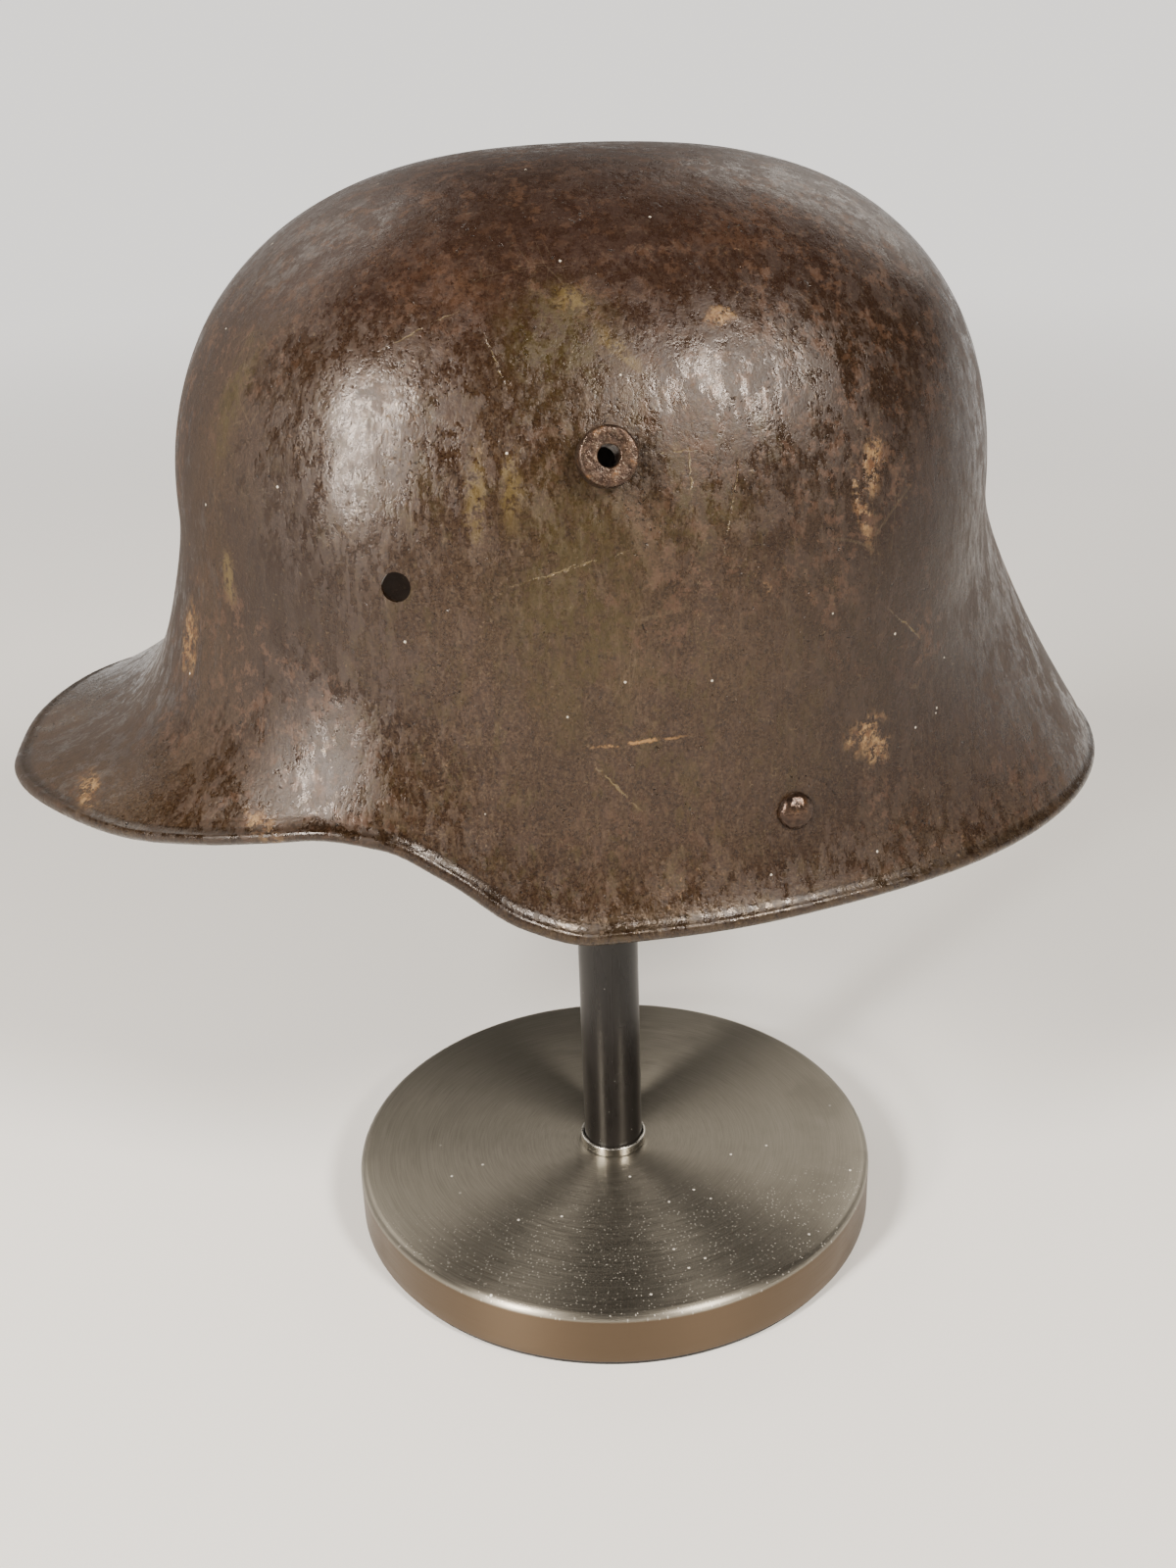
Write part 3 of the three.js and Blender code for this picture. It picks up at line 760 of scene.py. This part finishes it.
SCRATCHES = [
    {"turn": 90, "height": 47.8, "length": 20, "width": 0.9, "lean": 2, "kind": "rust"},
    {"turn": 85.2, "height": 91, "length": 24, "width": 0.5, "lean": 14, "kind": "pale"},
    {"turn": 88.7, "height": 36.5, "length": 15, "width": 0.6, "lean": -50, "kind": "pale"},
    {"turn": 92, "height": 114.6, "length": 15, "width": 0.5, "lean": 0, "kind": "pale"},
    {"turn": 95, "height": 108.5, "length": 13, "width": 0.5, "lean": 90, "kind": "pale"},
    {"turn": 64, "height": 141, "length": 16, "width": 0.4, "lean": 38, "kind": "pale"},
    {"turn": 76, "height": 135, "length": 12, "width": 0.4, "lean": -62, "kind": "pale"},
    {"turn": 99, "height": 101, "length": 18, "width": 0.4, "lean": 75, "kind": "pale"},
    {"turn": 125, "height": 66, "length": 14, "width": 0.5, "lean": -40, "kind": "pale"},
    {"turn": 268, "height": 92, "length": 26, "width": 0.5, "lean": 22, "kind": "pale"},
    {"turn": 250, "height": 48, "length": 17, "width": 0.8, "lean": -8, "kind": "rust"},
    {"turn": 301, "height": 124, "length": 15, "width": 0.5, "lean": 52, "kind": "pale"},
    {"turn": 205, "height": 88, "length": 19, "width": 0.5, "lean": -33, "kind": "pale"},
]


def largest(finish, masks):
    total = masks[0]
    for mask in masks[1:]:
        total = finish.math("MAXIMUM", total, mask)
    return total


def shell_steel(name, gloss=0.0, depth=0.8):
    """Two worn skins: a thin grey-brown film that shines, broken by matte rust-brown metal.

    gloss takes from the roughness, and depth multiplies the colour.
    """
    f = Finish(name)
    split = f.add("ShaderNodeSeparateXYZ")
    f.put(split.inputs[0], f.place)
    shaken = f.shaken(230, 3, 0.011)
    less_shaken = f.shaken(330, 4, 0.0045)
    fine_shaken = f.shaken(500, 2, 0.0016)

    def placed(row, place=shaken, edge=0.6):
        if place is shaken and min(row["length"], row["width"]) < 8:
            place = less_shaken
        seat = seat_at(row["turn"], row["height"])
        return f.mark(seat, row["length"], row["width"], row["lean"], place, edge)

    broad = f.noise(14, 4, 0.55)
    middle = f.noise(75, 5, 0.7, f.stretch((1, 1, 0.45)))
    small = f.noise(360, 4, 0.65)
    strokes = f.noise(650, 3, 0.65, f.stretch((1, 1, 0.3)))
    grain = f.noise(1500, 3, 0.7)
    crown_share = f.step(split.outputs["Z"], crown - STAIN_FOOT * MM, crown - STAIN_TOP * MM)

    # Film: torn patches, then fine gaps in them
    cover = f.noise(150, 6, 0.76, f.stretch((1, 1, 0.45), location=(0.3, 0.1, 0.7)))
    cover = f.plus(cover, f.times(f.minus(f.noise(22, 3, 0.6), 0.5), 0.35))
    worn_off = 0.0
    for row in FILM_MARKS:
        spot = placed(row, f.place, 0.9)
        cover = f.plus(cover, f.times(spot, row["more"]))
        if row["matte"]:
            worn_off = f.plus(worn_off, f.times(spot, row["matte"]))
    film = f.step(cover, 0.444, 0.488)
    fine = f.noise(520, 3, 0.75, f.stretch((1, 1, 0.42)))
    gaps = f.plus(fine, f.times(f.minus(cover, 0.5), 0.45))
    gaps = f.step(gaps, 0.40, 0.47)
    film = f.times(film, f.plus(f.times(gaps, 0.65), 0.35))
    film = f.times(film, f.step(crown_share, 0.2, 1.0, 1.0, 0.7))
    film = f.plus(f.times(film, 0.62), 0.38)

    tone = f.plus(f.times(broad, 0.5), f.times(middle, 0.5))
    colour = f.ramp(tone, (0.36, (0.024, 0.0098, 0.0047)), (0.46, (0.0310, 0.0138, 0.0062)),
                    (0.54, (0.037, 0.0180, 0.0074)), (0.64, (0.048, 0.0255, 0.0105)))
    colour = f.mix(f.times(film, 0.45), colour, (0.0285, 0.0165, 0.0082))
    colour = f.mix(f.step(small, 0.52, 0.72, 0, 0.45), colour, (0.068, 0.038, 0.019))
    colour = f.mix(f.step(strokes, 0.53, 0.70, 0, 0.55), colour, (0.068, 0.042, 0.022))
    colour = f.mix(f.step(f.noise(640, 3, 0.65), 0.54, 0.66, 0, 0.48), colour, (0.0095, 0.0045, 0.0024))
    colour = f.mix(f.step(grain, 0.52, 0.62, 0, 0.45), colour, (0.075, 0.048, 0.028))
    colour = f.mix(f.step(grain, 0.47, 0.38, 0, 0.55), colour, (0.0085, 0.0040, 0.0022))
    colour = f.mix(f.times(crown_share, 0.7), colour, (0.0235, 0.0112, 0.0084))
    # Darker patches, partly the steel's own tone and partly painted shade.
    dark = largest(f, [placed(row, f.place, 0.9) for row in DARK_TONE_AND_SHADE_MARKS])
    colour = f.mix(f.times(dark, 0.68), colour, (0.0150, 0.0066, 0.0034))
    spots = f.step(f.noise(240, 4, 0.8), 0.52, 0.60)
    spotted = f.times(spots, f.step(f.noise(18, 2, 0.5), 0.42, 0.58))
    colour = f.mix(f.times(spotted, 0.65), colour, (0.072, 0.037, 0.021))
    brown = largest(f, [placed(row) for row in BROWN_MARKS])
    brown = f.times(brown, f.step(f.noise(280, 4, 0.8), 0.44, 0.56))
    colour = f.mix(f.times(brown, 0.45), colour, (0.066, 0.033, 0.019))

    # Remains of olive paint
    torn = f.noise(170, 5, 0.78, f.stretch((1, 1, 0.5), location=(0.9, 0.2, 0.4)))
    remains = largest(f, [placed(row) for row in OLIVE_MARKS])
    remains = f.times(remains, f.step(torn, 0.42, 0.54, 0.25, 1))
    side = f.math("ABSOLUTE", f.minus(split.outputs["X"], helmet_place.x - PAINT_FORWARD * MM))
    strays = f.times(f.step(side, PAINT_REACH * MM, PAINT_FULL * MM, 0.15, 1), f.step(torn, 0.535, 0.60))
    strays = f.times(f.times(strays, f.step(crown_share, 0.5, 0.0)), 0.55)
    remains = f.math("MAXIMUM", remains, strays)
    remains = f.times(remains, f.step(f.noise(700, 3, 0.7), 0.36, 0.54, 0.3, 1))
    colour = f.mix(f.times(remains, 0.66), colour, (0.042, 0.0295, 0.0068))

    yellow = largest(f, [placed(row) for row in YELLOW_MARKS])
    yellow = f.times(yellow, f.step(f.noise(420, 4, 0.8), 0.42, 0.54))
    colour = f.mix(f.times(yellow, 0.75), colour, (0.105, 0.072, 0.026))

    # Rust: placed patches and scattered specks
    patch = largest(f, [placed(row) for row in RUST_MARKS])
    patch = f.times(patch, f.step(f.noise(300, 4, 0.8), 0.44, 0.57))
    scatter = f.times(f.step(f.noise(26, 3, 0.6), 0.54, 0.70), f.step(f.noise(560, 4, 0.7), 0.60, 0.68))
    rust = f.math("MAXIMUM", f.times(patch, 0.9), f.times(scatter, 0.5))
    ochre = f.mix(f.step(f.noise(420, 4, 0.75), 0.35, 0.65), (0.105, 0.043, 0.014), (0.330, 0.200, 0.085))
    colour = f.mix(f.times(rust, 0.80), colour, ochre)

    pale, rusty_lines = [], []
    for row in SCRATCHES:
        kind = rusty_lines if row["kind"] == "rust" else pale
        kind.append(placed(row, fine_shaken, 0.5))
    broken = f.step(f.noise(420, 3, 0.6), 0.42, 0.54)
    pale = f.times(largest(f, pale), broken)
    rusty = f.times(largest(f, rusty_lines), broken)
    colour = f.mix(f.times(rusty, 0.85), colour, (0.25, 0.135, 0.050))
    colour = f.mix(f.times(pale, 0.6), colour, (0.16, 0.118, 0.058))

    # Bare bright flecks, fine hairlines and white specks
    hair_a = f.cells(75, f.stretch((1, 1, 0.12), rotation=(0.5, 0.3, 0.2)), "DISTANCE_TO_EDGE")
    hair_b = f.cells(95, f.stretch((1, 1, 0.10), rotation=(-0.8, 0.2, 1.1)), "DISTANCE_TO_EDGE")
    hair = f.plus(f.step(hair_a, 0.009, 0.002), f.step(hair_b, 0.007, 0.002), True)
    hair = f.times(hair, f.step(f.noise(38, 3, 0.6), 0.56, 0.66))
    fleck = f.step(f.noise(900, 3, 0.7), 0.62, 0.68)
    fleck = f.times(fleck, f.step(f.noise(60, 3, 0.6), 0.42, 0.62, 0.2, 1))
    low = shell_low.z + 2 * BEAD_RADIUS * MM
    band = f.step(split.outputs["Z"], low + RIM_BAND * MM, low + RIM_BAND_FULL * MM)
    band = f.times(band, f.step(f.noise(480, 3, 0.75), 0.42, 0.56))
    bare = f.plus(f.plus(fleck, f.times(hair, 0.40)), f.times(band, 0.55), True)
    colour = f.mix(f.times(bare, 0.5), colour, (0.16, 0.118, 0.075))
    colour = f.mix(f.step(f.cells(92), 0.036, 0.024, 0, 0.8), colour, (0.62, 0.56, 0.47))

    # Pits
    pit = f.times(f.step(f.cells(430, shaken), 0.20, 0.08), f.step(f.noise(95, 3, 0.65), 0.52, 0.62))
    colour = f.mix(f.times(pit, 0.8), colour, (0.005, 0.0025, 0.0015))
    colour = f.mix(1.0, colour, (depth, depth, depth), "MULTIPLY")

    film_rough = f.step(f.noise(120, 4, 0.7), 0.36, 0.64, 0.175 - gloss, 0.30 - gloss)
    film_rough = f.plus(film_rough, f.step(strokes, 0.43, 0.57, -0.055, 0.065))
    bare_rough = f.times(f.minus(1.0, film), 0.56 - gloss)
    rough = f.plus(f.times(film_rough, film), bare_rough)
    rough = f.plus(rough, f.times(f.minus(grain, 0.5), 0.16))
    rough = f.plus(rough, f.times(f.plus(rust, f.times(remains, 0.3), True), 0.2), True)
    rough = f.minus(f.plus(rough, worn_off), f.times(band, 0.12))
    metallic = f.plus(f.times(film, 0.25), f.times(bare, 0.4), True)
    metallic = f.times(metallic, f.minus(1.0, f.times(rust, 0.8)))

    normal = f.bump(f.noise(75, 3, 0.5, f.stretch((1, 1, 0.6))), 0.0013, 0.4)
    relief = f.plus(f.times(small, 0.50), f.times(grain, 0.28))
    relief = f.plus(relief, f.times(strokes, 0.25))
    relief = f.times(relief, f.minus(1.0, f.times(film, 0.36)))
    relief = f.minus(f.plus(relief, f.times(film, 0.10)), f.times(pit, 0.8))
    relief = f.plus(relief, f.times(rust, 0.3))
    relief = f.minus(relief, f.times(pale, 0.4))
    normal = f.bump(relief, 0.00042, 0.8, normal)
    return f.finish(Base_Color=colour, Metallic=metallic, Roughness=rough,
                    Specular_IOR_Level=0.36, Normal=normal)


def inner_steel():
    f = Finish("bare_inner_steel_with_painted_shade")
    blot = f.noise(40, 5, 0.65)
    small = f.noise(380, 4, 0.65)
    # Very dark colour: partly the rusty inside, partly painted shade for the darkness inside the shell, seen
    # through its holes.
    colour = f.ramp(blot, (0.36, (0.008, 0.0045, 0.0030)), (0.52, (0.016, 0.0088, 0.0055)),
                    (0.66, (0.045, 0.022, 0.011)))
    colour = f.mix(f.step(small, 0.55, 0.70, 0, 0.5), colour, (0.070, 0.052, 0.038))
    rough = f.step(small, 0.35, 0.65, 0.62, 0.80)
    normal = f.bump(small, 0.0004, 0.7, f.bump(blot, 0.001, 0.4))
    return f.finish(Base_Color=colour, Metallic=0.0, Roughness=rough, Specular_IOR_Level=0.15, Normal=normal)


def fitting_steel(name, halo, rough_low, rough_high):
    f = Finish(name)
    blot = f.noise(330, 4, 0.65)
    small = f.noise(1500, 3, 0.65)
    colour = f.ramp(blot, (0.34, (0.016, 0.009, 0.006)), (0.50, (0.040, 0.022, 0.014)),
                    (0.60, (0.062, 0.036, 0.022)), (0.72, (0.150, 0.068, 0.024)))
    colour = f.mix(f.step(small, 0.54, 0.66, 0, halo), colour, (0.20, 0.160, 0.115))
    rough = f.step(f.noise(800, 3, 0.6), 0.35, 0.65, rough_low, rough_high)
    normal = f.bump(small, 0.00008, 0.8, f.bump(blot, 0.0006, 0.6))
    return f.finish(Base_Color=colour, Metallic=0.7, Roughness=rough, Normal=normal)


def disc_steel():
    """Circular brushing: fine rings about the axis, dust, faint smears and a painted dark reflection on the
    side wall.
    """
    f = Finish("circular_brushed_steel")
    split = f.add("ShaderNodeSeparateXYZ")
    f.put(split.inputs[0], f.place)
    radius = f.vector("LENGTH", f.vector("MULTIPLY", f.place, (1, 1, 0)))
    angle = f.math("ARCTAN2", split.outputs["Y"], split.outputs["X"])
    rings = f.add("ShaderNodeCombineXYZ")
    f.put(rings.inputs[0], f.times(radius, 4200))
    f.put(rings.inputs[1], f.times(f.math("ABSOLUTE", angle), 5))
    f.put(rings.inputs[2], f.times(split.outputs["Z"], 4200))
    lines = f.noise(1.0, 3, 0.6, rings.outputs[0])
    smear = f.noise(24, 4, 0.6)
    colour = f.ramp(lines, (0.3, (0.225, 0.206, 0.168)), (0.7, (0.300, 0.277, 0.232)))
    colour = f.mix(f.step(smear, 0.56, 0.72, 0, 0.35), colour, (0.18, 0.165, 0.135))
    # Painted dark reflection: the side wall is coloured darker and browner than the top, though both are the
    # same brushed steel.
    wall = f.step(split.outputs["Z"], disc_top - (DISC_EDGE - 1) * MM, disc_top - DISC_EDGE * MM)
    colour = f.mix(wall, colour, (0.112, 0.080, 0.052))
    top = f.minus(1.0, wall)
    dust_zone = f.step(split.outputs["Y"], -DUST_START * MM, -DUST_FULL * MM)
    dust = f.step(f.cells(620, space="2D"), 0.16, 0.08)
    dust = f.times(dust, f.step(f.noise(260, 3, 0.6), 0.44, 0.60, 0, 0.6))
    dust = f.times(dust, f.plus(dust_zone, 0.06, True))
    lint = f.step(f.cells(60, space="2D"), 0.032, 0.018)
    lint = f.times(lint, f.step(f.noise(45, 2, 0.5), 0.50, 0.56))
    dust = f.math("MAXIMUM", dust, f.times(lint, f.step(split.outputs["Y"], LINT_FADE * MM, -LINT_FADE * MM)))
    dust = f.times(dust, top)
    colour = f.mix(f.times(dust, 0.85), colour, (0.72, 0.69, 0.62))
    metallic = f.minus(1.0, f.times(dust, 0.9))
    rough = f.plus(f.step(lines, 0.3, 0.7, 0.35, 0.42), f.times(f.step(smear, 0.5, 0.75), 0.06))
    tangent = f.add("ShaderNodeTangent", direction_type="RADIAL", axis="Z")
    normal = f.bump(lines, 0.00003, 0.35)
    return f.finish(Base_Color=colour, Metallic=metallic, Roughness=rough, Anisotropic=0.78,
                    Anisotropic_Rotation=0.25, Tangent=tangent.outputs[0], Normal=normal)


def collar_steel():
    f = Finish("bright_collar_steel")
    film = f.noise(260, 3, 0.5)
    colour = f.ramp(film, (0.35, (0.42, 0.40, 0.36)), (0.65, (0.54, 0.52, 0.47)))
    rough = f.step(film, 0.35, 0.65, 0.20, 0.32)
    normal = f.bump(f.noise(900), 0.00004, 0.4)
    return f.finish(Base_Color=colour, Metallic=1.0, Roughness=rough, Normal=normal)


def post_metal():
    f = Finish("dark_polished_metal")
    film = f.noise(55, 4, 0.6, f.stretch((1, 1, 0.3)))
    draw = f.noise(900, 2, 0.5, f.stretch((1, 1, 0.02)))
    colour = f.ramp(film, (0.35, (0.009, 0.0078, 0.0070)), (0.65, (0.016, 0.0140, 0.0122)))
    rough = f.plus(f.step(film, 0.35, 0.68, 0.24, 0.33), f.times(draw, 0.05))
    dust = f.step(f.cells(260), 0.05, 0.03)
    colour = f.mix(f.times(dust, 0.6), colour, (0.4, 0.38, 0.35))
    normal = f.bump(draw, 0.00002, 0.5)
    return f.finish(Base_Color=colour, Metallic=0.0, Roughness=rough, Specular_IOR_Level=0.25, Normal=normal)


def pad_rubber():
    f = Finish("black_pad")
    grain = f.noise(1400, 3, 0.6)
    colour = f.ramp(f.noise(60), (0.35, (0.010, 0.010, 0.010)), (0.65, (0.020, 0.019, 0.018)))
    rough = f.step(grain, 0.35, 0.65, 0.72, 0.90)
    return f.finish(Base_Color=colour, Roughness=rough, Normal=f.bump(grain, 0.0001, 0.6))


def rest_plastic():
    f = Finish("plain_grey_cap")
    grain = f.noise(900, 3, 0.6)
    colour = f.ramp(f.noise(45), (0.35, (0.17, 0.17, 0.175)), (0.65, (0.21, 0.21, 0.215)))
    rough = f.step(grain, 0.35, 0.65, 0.50, 0.66)
    return f.finish(Base_Color=colour, Roughness=rough, Normal=f.bump(grain, 0.0001, 0.5))


shell_outside = shell_steel("worn_shell_steel")
# The rolled edge's darker colour: partly handling wear, partly painted shade for the roll's underside.
shell_rim = shell_steel("handled_rim_steel_with_painted_shade", 0.02, 0.55)
shell_inside = inner_steel()
shell = build_shell(shell_outside, shell_inside, shell_rim)
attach(shell, "root")
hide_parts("shell")

lug_finish = fitting_steel("worn_lug_steel", 0.30, 0.26, 0.46)
rivet_finish = fitting_steel("worn_rivet_steel", 0.08, 0.12, 0.24)
for side in ("left", "right"):
    build_lug(side).data.materials.append(lug_finish)
    build_rivet(side).data.materials.append(rivet_finish)

stand = build_stand()
stand["pad"].data.materials.append(pad_rubber())
stand["disc"].data.materials.append(disc_steel())
stand["collar"].data.materials.append(collar_steel())
stand["post"].data.materials.append(post_metal())
stand["rest"].data.materials.append(rest_plastic())


# Floor, light and camera
def build_floor():
    """Pale floor that goes over into the pale room far behind the object."""
    f = Finish("pale_floor")
    colour = f.ramp(f.noise(3, 2, 0.5), (0.3, (0.84, 0.825, 0.80)), (0.7, (0.87, 0.855, 0.83)))
    material = f.finish(Base_Color=colour, Roughness=0.8)
    glow = f.add("ShaderNodeEmission")
    f.put(glow.inputs["Color"], ROOM_COLOUR)
    f.put(glow.inputs["Strength"], ROOM_LIGHT)
    blend = f.add("ShaderNodeMixShader")
    f.put(blend.inputs[0], f.step(f.vector("LENGTH", f.place), 0.25, 2.2))
    output = next(node for node in f.nodes if node.type == "OUTPUT_MATERIAL")
    f.links.new(output.inputs[0].links[0].from_socket, blend.inputs[1])
    f.links.new(glow.outputs[0], blend.inputs[2])
    f.links.new(blend.outputs[0], output.inputs[0])
    turns = [2 * math.pi * i / FLOOR_CORNERS for i in range(FLOOR_CORNERS)]
    ring = [(FLOOR_RADIUS * math.cos(a), FLOOR_RADIUS * math.sin(a), 0) for a in turns]
    floor = new_object("floor", ring, [tuple(range(FLOOR_CORNERS))], False)
    floor.data.materials.append(material)


def softbox(row):
    """Area light that looks at the helmet's middle."""
    a, e = math.radians(row["azimuth"]), math.radians(row["elevation"])
    toward = Vector((math.cos(e) * math.sin(a), -math.cos(e) * math.cos(a), math.sin(e)))
    target = Vector((0, 0, crown - LIGHT_TARGET_BELOW_CROWN * MM))
    data = bpy.data.lights.new(row["name"], "AREA")
    data.shape = "ELLIPSE"
    data.size = row["width"]
    data.size_y = row["height"]
    data.energy = row["watts"]
    data.color = LIGHT_COLOUR
    light = bpy.data.objects.new(row["name"], data)
    bpy.context.collection.objects.link(light)
    light.location = target + row["distance"] * toward
    light.rotation_euler = (target - light.location).to_track_quat("-Z", "Y").to_euler()


def build_light():
    for row in SOFTBOXES:
        softbox(row)
    world = bpy.data.worlds.new("pale_room")
    world.use_nodes = True
    bpy.context.scene.world = world
    nodes, links = world.node_tree.nodes, world.node_tree.links
    place = nodes.new("ShaderNodeTexCoord")
    split = nodes.new("ShaderNodeSeparateXYZ")
    ramp = nodes.new("ShaderNodeValToRGB")
    links.new(place.outputs["Generated"], split.inputs[0])
    links.new(split.outputs["Z"], ramp.inputs[0])
    links.new(ramp.outputs[0], nodes["Background"].inputs["Color"])
    stops = ((0.03, ROOM_COLOUR), (0.14, (0.30, 0.286, 0.268)), (0.42, (0.09, 0.085, 0.079)),
             (0.85, (0.05, 0.047, 0.043)))
    ramp.color_ramp.elements.new(0.5)
    ramp.color_ramp.elements.new(0.6)
    for element, (position, colour) in zip(ramp.color_ramp.elements, stops):
        element.position = position
        element.color = (*colour, 1)
    nodes["Background"].inputs["Strength"].default_value = ROOM_LIGHT


def build_camera():
    turn = math.radians(VIEW_TURN)
    heading = math.radians(VIEW_TURN + VIEW_YAW)
    pitch = math.radians(VIEW_PITCH)
    roll = math.radians(VIEW_ROLL)
    ahead = Vector((math.sin(heading), math.cos(heading), 0))
    forward = math.cos(pitch) * ahead - Vector((0, 0, math.sin(pitch)))
    right = Vector((math.cos(heading), -math.sin(heading), 0))
    up = right.cross(forward)
    tilted_right = math.cos(roll) * right - math.sin(roll) * up
    tilted_up = math.sin(roll) * right + math.cos(roll) * up
    data = bpy.data.cameras.new("camera")
    data.lens = FOCAL_PIXELS / PHOTO_PIXELS * SENSOR
    data.sensor_width = SENSOR
    data.clip_start = 0.02
    camera = bpy.data.objects.new("camera", data)
    bpy.context.collection.objects.link(camera)
    place = Vector((-VIEW_DISTANCE * math.sin(turn), -VIEW_DISTANCE * math.cos(turn), VIEW_HEIGHT)) * MM
    aim = Matrix((tilted_right, tilted_up, -forward)).transposed().to_4x4()
    camera.matrix_world = Matrix.Translation(place) @ aim
    bpy.context.scene.camera = camera


build_floor()
build_light()
build_camera()
